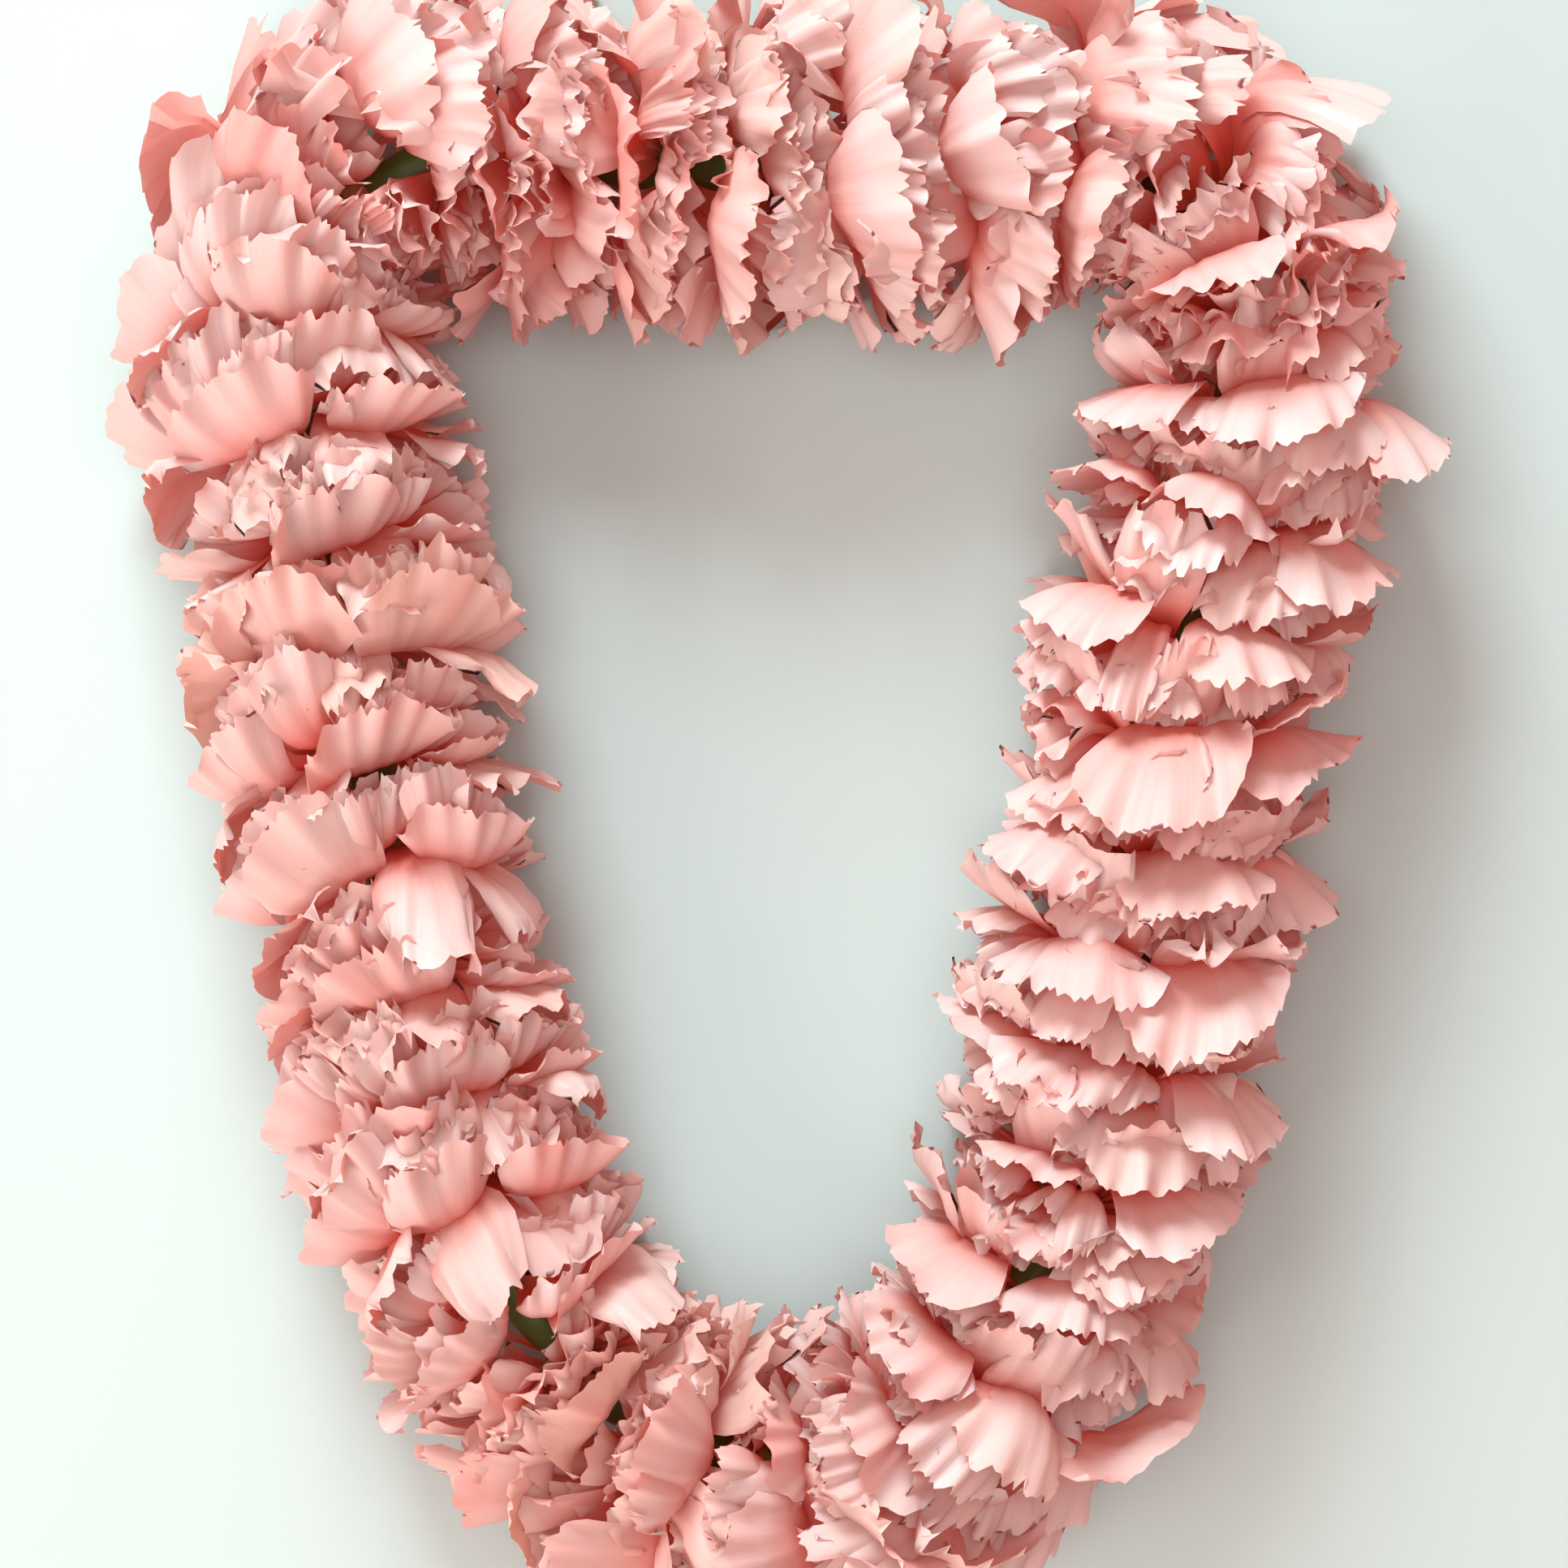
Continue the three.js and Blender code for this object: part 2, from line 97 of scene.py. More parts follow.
string_line = route_points()
string_line = np.vstack([string_line, string_line[:1]])
string_distances = np.concatenate([[0], np.cumsum(np.linalg.norm(np.diff(string_line, axis=0), axis=1))])
LOOP_LENGTH = string_distances[-1]
PITCH = LOOP_LENGTH / BLOOM_COUNT
print("length round the string, mm:", round(LOOP_LENGTH, 1), "from bloom to bloom:", round(PITCH, 2))


# %% Place, heading and bend at any distance along the string
def string_point(distance):
    s = np.mod(distance, LOOP_LENGTH)
    return np.stack([np.interp(s, string_distances, string_line[:, k]) for k in (0, 1)], axis=-1)


def heading(distance):
    way = string_point(distance + HEADING_REACH) - string_point(distance - HEADING_REACH)
    return way / np.linalg.norm(way, axis=-1, keepdims=True)


def bend(distance):
    """1 over the radius of the bend, positive where the string turns clockwise."""
    before, after = heading(distance - HEADING_REACH), heading(distance + HEADING_REACH)
    turn = before[..., 1] * after[..., 0] - before[..., 0] * after[..., 1]
    return np.arcsin(turn) / (2 * HEADING_REACH)


print("sharpest bend, radius in mm:", round(1 / float(bend(np.linspace(0, LOOP_LENGTH, 400)).max()), 1))

# %% [markdown]
# ## The room that a bloom has
# Threaded blooms press against each other, so each one is a bowl nested in the next. If every
# petal point is given by its place along the string, its radius and its angle round the string,
# one shared bend of all the bowls keeps them nested, and no two blooms run through each other.

# %% How the blooms curl, lean, and flatten on the surface
CURL_START, CURL_SPAN = 9.0, 28.0
CURL_FORWARD, CURL_SHARPNESS = 19.0, 2.6
CURL_BACK, BOW_FADE = 9.0, 1.2
SIDE_CURL, SIDE_FADE = 0.4, 1.5
BIGGER = [(8, 0.13, 3.5)]
LEANS = [(6.2, 18, 2), (9.6, 14, 1.8), (13.4, 18, 2), (27.5, 14, 2)]
INNER_SHARE, INNER_EASE = 0.66, 4
FLOOR_GAP, FLOOR_SOFT = 1.0, 5.0


def curl(radius, angle):
    x = np.maximum(0, (radius - CURL_START) / CURL_SPAN)
    share = SIDE_CURL + (1 - SIDE_CURL) * np.maximum(0, np.sin(angle)) ** SIDE_FADE
    return CURL_FORWARD * share * x**CURL_SHARPNESS - CURL_BACK * x**BOW_FADE * np.maximum(0, 1 - x)


def swell(places, distance):
    return sum(
        amount * np.exp(-((distance / PITCH - bloom) / width) ** 2)
        for bloom, amount, width in places
    )


def outward_reach(outward, turn):
    """Holds petals on the inner side of a bend back from its centre."""
    limit = INNER_SHARE / np.maximum(turn, 1e-6)
    held = outward / (1 + (np.abs(outward) / limit) ** INNER_EASE) ** (1 / INNER_EASE)
    return np.where((outward >= 0) | (turn <= 0), outward, held)


def above_floor(height, lowest, resting):
    if resting:
        return np.maximum(height, lowest)
    soft = lowest + FLOOR_SOFT
    softened = lowest + FLOOR_SOFT * np.exp(np.minimum(0, (height - soft) / FLOOR_SOFT))
    return np.where(height >= soft, height, softened)


# Slow waves that run round the loop and round the string: waves in a loop, turns, height, phase
UNEVEN_ALONG = [
    (9, 1, 1.0, 0.3),
    (13, -2, 0.9, 2.1),
    (19, 1, 0.8, 4.4),
    (23, -3, 0.6, 1.2),
    (31, 2, 0.5, 5.2),
]
UNEVEN_REACH = [(11, 1, 1.0, 1.7), (17, -2, 0.9, 3.9), (27, 3, 0.8, 0.6), (34, -1, 0.6, 2.6)]
ALONG_WANDER, REACH_WANDER = 1.7, 0.035


def uneven(waves, distance, angle):
    round_loop = FULL_TURN * distance / LOOP_LENGTH
    return sum(
        height * np.sin(count * round_loop + turns * angle + phase)
        for count, turns, height, phase in waves
    )


def bloom_point(along, radius, angle, lowest, resting=False):
    """A point of a bloom. Angle 0 is the loop's outer side and a quarter turn is the top."""
    up = radius * np.sin(angle)
    lean = np.tan(np.radians(swell(LEANS, along)))
    wander = ALONG_WANDER * np.maximum(0, (radius - CURL_START) / CURL_SPAN)
    wander = wander * uneven(UNEVEN_ALONG, along, angle)
    place = along + curl(radius, angle) - lean * np.maximum(0, up) + wander
    out = outward_reach(radius * np.cos(angle), bend(place))
    ahead, centre = heading(place), string_point(place)
    height = above_floor(STRING_HEIGHT + up, lowest, resting)
    x = centre[..., 0] - ahead[..., 1] * out
    y = centre[..., 1] + ahead[..., 0] * out
    return np.stack([x, y, height], axis=-1)


print("top of an outer petal, mm:", bloom_point(0.0, np.array(36.5), np.array(math.pi / 2), 1.0).round(1))

# %% [markdown]
# ## One petal
# A carnation petal is a fan: a narrow claw at the root and a broad limb with a toothed rim. A
# flat grid wastes its points on the claw, so the rows here have few points at the root and many
# at the rim, like the ribs of a fan. Each petal has two faces, thin as paper, that share the
# points of a fine edge all round, so that it is a skin round a volume and not an open sheet. In
# one corner of the claw and in one of the rim a triangle has all its points on that edge, so
# there the two faces lie on each other.

# %% The fan's rows and the triangles between them
def strip_faces(start_a, count_a, start_b, count_b):
    """Triangles between two rows of points that may differ in number."""
    faces, i, j = [], 0, 0
    while i < count_a - 1 or j < count_b - 1:
        step_a, step_b = (i + 1) / max(1, count_a - 1), (j + 1) / max(1, count_b - 1)
        if j < count_b - 1 and (i == count_a - 1 or step_b <= step_a + 1e-9):
            faces.append((start_a + i, start_b + j, start_b + j + 1))
            j += 1
        else:
            faces.append((start_a + i, start_b + j, start_a + i + 1))
            i += 1
    return faces


class Fan:
    """Rows of points of a fan, with the triangles of its two faces. Edge points are shared."""

    def __init__(self, counts, runs):
        self.u = np.concatenate([np.full(n, run) for n, run in zip(counts, runs)])
        self.v = np.concatenate([np.linspace(-1, 1, n) for n in counts])
        starts = np.concatenate([[0], np.cumsum(counts)])
        front = []
        for row in range(len(counts) - 1):
            front += strip_faces(starts[row], counts[row], starts[row + 1], counts[row + 1])
        front = np.array(front)
        rim = starts[-2]
        number = np.arange(len(self.u))
        edge = (np.abs(self.v) > 0.999) | (number >= rim) | (number < counts[0])
        self.inside = np.flatnonzero(~edge)
        other = np.arange(len(self.u))
        other[self.inside] = len(self.u) + np.arange(len(self.inside))
        self.faces = np.vstack([front, other[front][:, ::-1]])
        self.rim = np.arange(rim, len(self.u))


BROAD = Fan((3, 7, 11, 15, 19, 23, 27, 31, 37, 41), (0, 0.1, 0.22, 0.35, 0.48, 0.61, 0.74, 0.86, 0.95, 1))
SMALL = Fan((3, 7, 11, 15, 19, 23, 27, 33), (0, 0.14, 0.3, 0.47, 0.64, 0.8, 0.93, 1))
print("triangles of a broad petal:", len(BROAD.faces), "and of a small one:", len(SMALL.faces))

# %% The whorls of petals in a bloom
# Each whorl: petals, first facet, reach, shifts along the string at the root, the middle and
# the rim, half angle, lift off the surface, tuck underneath, fan, how much it is frilled
GUARD_BACK = -12.0  # where the rims of the turned-back petals end, against the bloom's own joint
WHORL_FIELDS = ("count", "facet", "reach", "shifts", "half", "lift", "tuck", "fan", "frill")
WHORLS = [
    (5, 0, 36.5, (-0.6, -8.5, -9.0), 32, 0.0, 0.1, BROAD, 1.0),
    (6, 0, 35.0, (0.0, -4.5, -5.0), 24, 1.2, 0.14, BROAD, 1.0),
    (5, 1, 33.0, (0.6, 1.5, 1.5), 28, 2.6, 0.25, BROAD, 1.2),
    (7, 1, 30.5, (1.2, 4.2, 4.8), 23, 3.4, 0.27, SMALL, 1.4),
    (7, 0.5, 28.0, (1.8, 6.0, 8.8), 23, 4.2, 0.25, SMALL, 1.5),
    (7, 0, 24.5, (2.4, 8.0, 12.0), 25, 5.0, 0.18, SMALL, 1.5),
    (6, 0, 20.0, (3.0, 9.0, 13.5), 28, 6.0, 0.05, SMALL, 1.4),
    (7, 0.5, 34.5, (-1.4, -9.2, 0.0), 28, 0.4, 0.3, SMALL, 1.2),
]
WHORLS = [dict(zip(WHORL_FIELDS, row)) for row in WHORLS]
GUARD = len(WHORLS) - 1
GUARD_SPREAD = 3.5  # how much further the guard petals at the sides may reach
FOLDS = {0: (0, 0, -2.5, -3.5), 1: (0, 1, 2), 2: (0, 1.5, 3)}
# How far the rims roll, backward is negative
ROLLS = {0: (-4.5, 0), 1: (-1, 2.5), 2: (-1, 3), GUARD: (-11, -5)}
CLAW_RADIUS, CLAW_STEP = 6.3, 0.27  # the claws of each whorl stand inside those of the one before
FACETS = 10
# Heads that turn their faces up: bloom, angle round the string in degrees, how far
OPEN_FACES = [(6.7, 125, 1.0), (8.4, 95, 0.8), (13.7, 40, 1.0), (22.2, 60, 0.5), (27.6, 50, 1.0)]
OPEN_RIMS = (1.0, 2.5, 5.0, 8.0, 11.0, 14.0, 16.5)  # where the rims of an open head stand, whorl by whorl
OPEN_REACH = (35.5, 35.0, 34.5, 34.0, 33.5, 33.0, 31.5)
RESTING_BLOOMS = (1, 9, 20, 29)
ANGLE_JITTER, SIZE_JITTER, REACH_JITTER, SHIFT_JITTER = 4, 0.05, 0.08, 1.2
BEND_OPENING = 6
WHORL_TURN = 0.55  # how far a whorl that the frame doesn't have may turn from its facets
WORN = 0.25  # how many rims are withered in a fresh bloom, and where the lei is older
# Paler heads, and with a minus sign deeper ones: bloom, how much, how many blooms wide
PALER = [(1, 0.6, 0.7), (8.5, 0.45, 0.9), (27.6, 0.7, 0.9), (5, -0.5, 0.7), (13, -0.5, 1.2)]
WITHERED = [(17, 0.35, 4), (21, 0.35, 3), (25, 0.25, 3), (7.5, 0.1, 2)]
print("petals in a bloom:", sum(w["count"] for w in WHORLS))


# %% The blade of a petal
def through_three(u, start, middle, end):
    """A smooth curve through three values, at 0, at 0.58 and at 1."""
    k = 0.58
    a = ((middle - start) - (end - start) * k) / (k * k - k)
    return start + (end - start - a) * u + a * u * u


def petal_middle(petal, u, v, radial=0.0):
    width = 0.22 + 0.78 * (1 - (1 - u) ** 2.2)
    rounding = petal["corner"] * np.abs(v) ** 3.6 * u**2
    radius = petal["root"] + (petal["reach"] - petal["root"]) * u - rounding + radial
    angle = petal["angle"] + petal["half"] * width * v + petal["sway"] * u**2
    cup = petal["cup"] * (2 * v * v - 1) * u * (1.5 - 0.5 * u)
    skew = petal["skew"] * v * (0.5 + 1.5 * u) * u
    twist = petal["side_twist"] * v * u**1.5
    along = petal["base"] + through_three(u, *petal["shifts"]) + cup + skew + twist + petal["tilt"] * u**2
    return bloom_point(along, radius, angle, petal["lowest"], petal["resting"])


PETAL_THICKNESS = 0.35
LOWEST_POINT = 0.08
STEP = 1e-3


def petal_skin(petal, fan, rng):
    """Points of a petal's closed skin, with its ruffles and teeth."""
    u, v = fan.u, fan.v
    teeth = np.zeros(len(u))
    count = len(fan.rim)
    coarse = rng.uniform(-1, 0.4, count // 3 + 1 + (count % 3 > 0))
    rough = np.interp(np.arange(count), np.arange(0, count + 3, 3), coarse)
    lobes = np.abs(np.sin(np.pi * (petal["lobes"] * v[fan.rim] / 2 + petal["phases"][3])))
    nick = np.where(rng.uniform(0, 1, count) < 0.05, rng.uniform(0.8, 1.8, count), 0)
    jagged = 0.45 * rough + rng.uniform(-0.6, 0.4, count) - 0.9 * (1 - lobes) ** 3 - nick
    teeth[fan.rim] = petal["tooth"] * jagged
    middle = petal_middle(petal, u, v, teeth)
    inner = np.minimum(u, 1 - STEP)
    here = petal_middle(petal, inner, v)
    du = petal_middle(petal, inner + STEP, v) - here
    dv = petal_middle(petal, inner, v + STEP) - here
    normal = np.cross(du, dv)
    normal /= np.maximum(np.linalg.norm(normal, axis=1, keepdims=True), 1e-9)
    a, k, p = petal["waves"], petal["counts"], petal["phases"]
    ruffle = a[0] * u**2.2 * np.sin(np.pi * (k[0] * v + p[0]))
    ruffle += a[1] * u**5 * np.sin(np.pi * (k[1] * v + p[1]))
    ruffle += a[2] * u**7 * np.sin(np.pi * (k[2] * v + p[2]))
    uneven_pleats = petal["pleats"] * v + p[0] + 0.35 * np.sin(2.2 * np.pi * v + p[1])
    ruffle += petal["pleat"] * u**1.3 * np.sin(np.pi * uneven_pleats)
    ruffle += petal["roll"] * np.maximum(0, (u - 0.6) / 0.4) ** 2
    ruffle += petal["fold"] * u**3 * np.exp(-(((v - petal["fold_at"]) / 0.33) ** 2))
    ruffle += petal["side_roll"] * u**1.5 * (np.maximum(0, np.abs(v) - 0.45) / 0.55) ** 2
    middle = middle + normal * ruffle[:, None]
    half = (PETAL_THICKNESS / 2) * normal
    edge = np.ones(len(u), bool)
    edge[fan.inside] = False
    front = np.where(edge[:, None], middle, middle + half)
    back = (middle - half)[fan.inside]
    points = np.vstack([front, back])
    points[:, 2] = np.maximum(points[:, 2], LOWEST_POINT)
    return points


# %% [markdown]
# ## A bloom
# A real double head has thirty to sixty petals in loose whorls, the outer ones broad and the
# inner ones small and crumpled; here it has about fifty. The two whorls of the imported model
# keep their places, apart from the few heads that turn their open faces up, because on a real
# lei no two blooms sit quite alike. Five more fill the bowl between and before them, and one
# more lies behind: the guard petals, which roll back over the calyx and catch the light. Every
# petal draws its own ruffles, teeth and tilt.

# %% The petals of one bloom
def open_face(index, angle):
    """How far a head turns its face out at this angle, from 0 to 1."""
    total = 0.0
    for bloom, degrees, amount in OPEN_FACES:
        gap = (angle - math.radians(degrees) + math.pi) % FULL_TURN - math.pi
        total += amount * math.exp(-(((index - bloom) / 0.7) ** 2) - (gap / 0.95) ** 2)
    return min(1.0, total)


HALF_WIDTH, HALF_SHORTER = 0.62, 0.09  # the halves of a split petal overlap and differ in length


def petal_of(index, whorl_number, number, turn, rng, half_of=0):
    """One petal's numbers. half_of is -1 or 1 for either half of a broad side petal, or 0."""
    whorl = WHORLS[whorl_number]
    in_frame = whorl_number in (0, 2)
    step = FULL_TURN / whorl["count"]
    middle = turn + (whorl["facet"] + 1) * FULL_TURN / FACETS + number * step
    if in_frame:
        facet = 2 * number + whorl["facet"]
        seed = index * 40 + (0 if whorl_number == 0 else 20) + facet
        tilt, wide, far, forward, twist = (draw(seed, k) for k in (1, 2, 3, 4, 5))
    else:
        tilt, wide, far, forward, twist = rng.uniform(-1, 1, 5) * (2.2, 1, 1.2, 1.6, 1)
        middle += rng.uniform(-WHORL_TURN, WHORL_TURN) * 0.35
    angle = middle + math.radians(ANGLE_JITTER * tilt)
    opening = BEND_OPENING * float(bend(index * PITCH)) * max(0, math.cos(angle))
    size = 1 + SIZE_JITTER * draw(index, 902) + float(swell(BIGGER, index * PITCH)) + opening
    under = max(0, -math.sin(angle))
    size += REACH_WANDER * float(uneven(UNEVEN_REACH, index * PITCH, angle))
    reach = whorl["reach"] * size * (1 + REACH_JITTER * far) * (1 - whorl["tuck"] * under)
    top = max(0, math.sin(angle))
    root_shift, mid_shift, rim_shift = whorl["shifts"]
    opened = open_face(index, angle)
    if whorl_number == GUARD:
        rim_shift = GUARD_BACK - float(curl(reach, angle))
        reach += GUARD_SPREAD * abs(math.cos(angle)) ** 3 * rng.uniform(0.2, 1)
    else:
        reach += opened * (OPEN_REACH[whorl_number] - whorl["reach"])
        rim_shift += opened * (OPEN_RIMS[whorl_number] - float(curl(reach, angle)) - rim_shift)
    broad = whorl["fan"] is BROAD and not half_of
    frill = whorl["frill"] * (1.2 if half_of else 1)
    rim_tilt = rng.uniform(-2.6, 2.6) * abs(half_of)
    half = math.radians(whorl["half"] * (1 + (0.08 if in_frame else 0.25) * wide))
    angle += 0.5 * half * half_of
    half *= HALF_WIDTH if half_of else 1
    reach *= 1 - HALF_SHORTER * rng.uniform(0, 1) * abs(half_of)
    return dict(
        base=index * PITCH, angle=angle, half=half,
        root=CLAW_RADIUS - CLAW_STEP * whorl_number, reach=reach,
        shifts=(root_shift, mid_shift, rim_shift + SHIFT_JITTER * forward),
        skew=1.5 * (1 + 0.25 * twist),
        corner=rng.uniform(6, 9) if broad else rng.uniform(3.5, 6),
        cup=2.2 + rng.uniform(-3.2, 2),
        sway=rng.uniform(-0.2, 0.2),
        lowest=0.25 if whorl_number == 0 and index in RESTING_BLOOMS else FLOOR_GAP + whorl["lift"],
        resting=whorl_number == 0 and index in RESTING_BLOOMS,
        lobes=rng.integers(7, 11) if broad else rng.integers(4, 8),
        tooth=rng.uniform(0.6, 1.1),
        waves=frill * rng.uniform((0.5, 0.9, 0.6), (1.7, 1.9, 1.3)) * (1, 1, 1 if broad else 0.35),
        pleat=rng.uniform(0.2, 0.45),
        pleats=rng.uniform(4.2, 6.2),
        counts=(rng.uniform(0.7, 1.5), rng.uniform(2.0, 3.4), rng.uniform(4.6, 6.6)),
        phases=rng.uniform(0, 2, 4),
        roll=rng.uniform(*ROLLS.get(whorl_number, (-3, 3))),
        fold=rng.choice(FOLDS.get(whorl_number, (0, -3, 2.5, 4))) * rng.uniform(0.5, 1),
        fold_at=rng.uniform(-0.5, 0.5),
        side_roll=rng.uniform(-2, 4.5),
        side_twist=math.cos(angle) * (rng.uniform(2, 7) if half_of else rng.uniform(0, 4)),
        tilt=rng.uniform(-2, 2) * top + rim_tilt,
    )


GUARD_LOWEST = -0.5  # no guard petals further round the underside than this
OPEN_BEHIND = 0.3  # nor where the head behind is open by this much
AT_THE_SIDE, BY_CHANCE, SPLIT_LOWEST = 0.72, 0.2, -0.75


def petals_in(index, whorl_number, turn):
    """A whorl's petals by number. Broad ones stand as two narrow ones at the sides and here and there."""
    whorl = WHORLS[whorl_number]
    for number in range(whorl["count"]):
        middle = turn + (whorl["facet"] + 1) * FULL_TURN / FACETS + number * FULL_TURN / whorl["count"]
        hidden = math.sin(middle) < GUARD_LOWEST or open_face(index - 1, middle) > OPEN_BEHIND
        if whorl_number == GUARD and hidden:
            continue
        at_the_side = abs(math.cos(middle)) > AT_THE_SIDE
        by_chance = draw(number + 3 * whorl_number + 17 * turn, 55) > BY_CHANCE
        beside = whorl_number > 0 and (at_the_side or by_chance)
        if whorl["fan"] is BROAD and beside and math.sin(middle) > SPLIT_LOWEST:
            yield number, -1
            yield number, 1
        else:
            yield number, 0


def joint_point(index):
    """Where a bloom stands on the string, and the straight way on to the next one."""
    here, there = string_point(index * PITCH), string_point((index + 1) * PITCH)
    return np.array([*here, STRING_HEIGHT]), np.array([*((there - here) / np.linalg.norm(there - here)), 0])


def facing(index):
    way = joint_point(index - 1)[1] + joint_point(index)[1]
    return way / np.linalg.norm(way)


def ring_skin(rings, sides, closed=True):
    """Triangles over rings of points; closed joins the last ring to the first one."""
    faces = []
    for r in range(len(rings) if closed else len(rings) - 1):
        for i in range(sides):
            a, b = r * sides + i, r * sides + (i + 1) % sides
            c, d = (a + sides) % (len(rings) * sides), (b + sides) % (len(rings) * sides)
            faces += [(a, b, d), (a, d, c)]
    return np.array(faces)


def ring_round(centre, way, radius, sides, turn=0.0):
    angle = turn + np.arange(sides) / sides * FULL_TURN
    side = np.array([-way[1], way[0], 0])
    up = np.array([0, 0, 1.0])
    return centre + np.outer(radius * np.cos(angle), side) + np.outer(radius * np.sin(angle), up)


THROAT = [(-0.7, 6.6), (1.5, 7.4), (3.6, 6.9), (4.4, 5.6), (2.5, 4.6), (-0.7, 4.5)]  # along, radius
THROAT_SIDES, THROAT_FLUTE = 30, 0.35


def throat(index):
    """The ring of packed claws that all the petals of a bloom grow from."""
    way = facing(index)
    flute = 1 + THROAT_FLUTE * 0.2 * np.cos(np.arange(THROAT_SIDES) * FULL_TURN / 3)
    rings = [
        ring_round(joint_point(index)[0] + way * along, way, radius * flute, THROAT_SIDES)
        for along, radius in THROAT
    ]
    return np.vstack(rings), ring_skin(rings, THROAT_SIDES)


def cloudy(run, side, rng):
    """Soft patches over a petal, from 0 to 1."""
    waves = 0
    for _ in range(4):
        lengthwise, across, phase = rng.uniform(0.5, 2.2), rng.uniform(-2.2, 2.2), rng.uniform(0, 2)
        waves = waves + np.sin(np.pi * (lengthwise * run + across * side + phase))
    return 0.5 + waves / 8


def bloom_parts(index):
    """All petals of a bloom: points, faces, and what the petal finish has to know of each point."""
    rng = np.random.default_rng(4100 + index)
    straight_down = -math.pi / 2 - FULL_TURN / FACETS
    turn = straight_down if index in RESTING_BLOOMS else math.pi * draw(index, 901)
    ring_points, ring_faces = throat(index)
    total = len(ring_points)
    points, faces = [ring_points], [ring_faces]
    facts = dict(run=[np.full(total, 0.03)], side=[np.zeros(total)], tone=[np.full(total, 0.3)],
                 age=[np.zeros(total)], blush=[np.full(total, 0.5)])
    worn = WORN + float(swell(WITHERED, index * PITCH))
    for whorl_number, whorl in enumerate(WHORLS):
        whorl_turn = turn + (0 if whorl_number in (0, 2) else rng.uniform(-WHORL_TURN, WHORL_TURN))
        for number, half_of in petals_in(index, whorl_number, whorl_turn):
            petal = petal_of(index, whorl_number, number, whorl_turn, rng, half_of)
            fan = SMALL if half_of else whorl["fan"]
            skin = petal_skin(petal, fan, rng)
            points.append(skin)
            faces.append(fan.faces + total)
            total += len(skin)
            run, side = (np.concatenate([values, values[fan.inside]]) for values in (fan.u, fan.v))
            facts["run"].append(run)
            facts["side"].append(side)
            # painted highlight: guard petals draw from the paler half of the tones, so they look lit where
            # they roll back
            tone = rng.uniform(0.5 if whorl_number == GUARD else 0, 1) + float(swell(PALER, index * PITCH))
            facts["tone"].append(np.full(len(skin), tone))
            facts["age"].append(np.full(len(skin), max(0.0, worn + rng.uniform(-0.5, 0.5))))
            facts["blush"].append(cloudy(run, side, rng))
    facts["head"] = [np.full(total, draw(index, 77) * 0.5 + 0.5)]
    facts = {key: np.concatenate(values) for key, values in facts.items()}
    return np.concatenate(points), np.concatenate(faces), facts


def closed_mesh(name, points, faces, facts):
    """A mesh object from points in millimetres, with named numbers on its points."""
    mesh = bpy.data.meshes.new(name)
    mesh.from_pydata(points * MM, [], faces)
    for key, values in facts.items():
        mesh.attributes.new(key, "FLOAT", "POINT").data.foreach_set("value", values.astype(np.float32))
    mesh.shade_smooth()
    mesh.set_sharp_from_angle(angle=math.radians(70))
    piece = bpy.data.objects.new(name, mesh)
    bpy.context.scene.collection.objects.link(piece)
    return piece


blooms = []
for index in range(BLOOM_COUNT):
    points, faces, facts = bloom_parts(index)
    bloom = closed_mesh(f"petals_{index + 1:02d}", points, faces, facts)
    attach(bloom, "root")
    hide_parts(f"bloom_{index + 1:02d}")
    blooms.append(bloom)
print("blooms:", len(blooms), "triangles:", sum(len(b.data.polygons) for b in blooms))

# %% [markdown]
# ## The petals' finish
# A carnation petal is green-yellow at its claw, deep pink low on its blade, and paler at its
# thin rim. A ramp along each petal gives that, pushed past the petal's own colour: its deep red
# low on the blade is partly painted shade for the folds between petals, and its nearly white rim
# is partly a painted highlight. Numbers kept on the points make some petals and some heads paler
# than others, add fine veins and soft patches, and wither a few rims; the guard petals are kept
# paler, which partly paints a highlight on them. A petal lets light through, so about two fifths
# of the finish is translucent. A very faint warm glow stands in for the light that goes from
# petal to petal: few bounces are worked out, to keep the render short.

# %% The petals' finish
def node_tree(name):
    material = bpy.data.materials.new(name)
    material.use_nodes = True
    tree = material.node_tree
    tree.nodes.clear()
    return material, tree


def ramp_node(tree, stops, factor):
    node = tree.nodes.new("ShaderNodeValToRGB")
    elements = node.color_ramp.elements
    while len(elements) < len(stops):
        elements.new(0.5)
    for element, (place, colour) in zip(elements, stops):
        element.position = place
        element.color = (*colour, 1)
    tree.links.new(factor, node.inputs["Fac"])
    return node.outputs["Color"]


TRANSLUCENT_SHARE = 0.42


